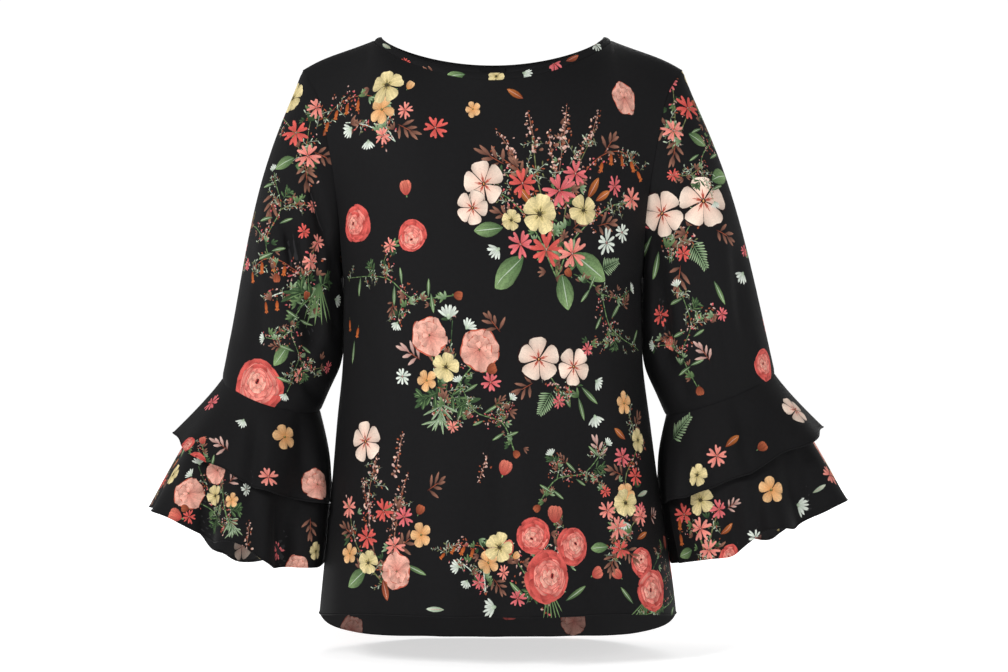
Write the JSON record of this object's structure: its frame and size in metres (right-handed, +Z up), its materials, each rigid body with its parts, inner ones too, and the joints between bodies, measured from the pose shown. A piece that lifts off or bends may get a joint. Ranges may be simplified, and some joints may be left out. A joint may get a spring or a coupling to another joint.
{
  "type": "blouse",
  "caption": "Woven pull-on blouse with a wide bound scoop neck, elbow-length sleeves ending in double circular flounces, and a dropped rounded back hem, in worn shape.",
  "frame": {"origin": "midway between the two high shoulder points, where the neck edge crosses the shoulder seams, on the line the garment rests on its wearer's shoulders", "axes": "+Z up along the wearer's back, +X across the shoulders towards the viewer's right, the front of the garment faces -Y"},
  "size_m": [0.7382, 0.2594, 0.6461],
  "materials": {
    "cloth": "matt black crepe weave printed with scattered garden flowers in coral, blush, cream, orange and green",
    "binding": "matt bias-cut strip of the same printed cloth",
    "label": "smooth black woven ribbon, blank"
  },
  "bodies": {
    "root": {"front": "cloth", "back": "cloth", "neck_binding": "binding", "sleeve_left": "cloth", "sleeve_right": "cloth", "flounce_upper_left": "cloth", "flounce_upper_right": "cloth", "flounce_lower_left": "cloth", "flounce_lower_right": "cloth", "neck_label": "label"}
  },
  "joints": []
}
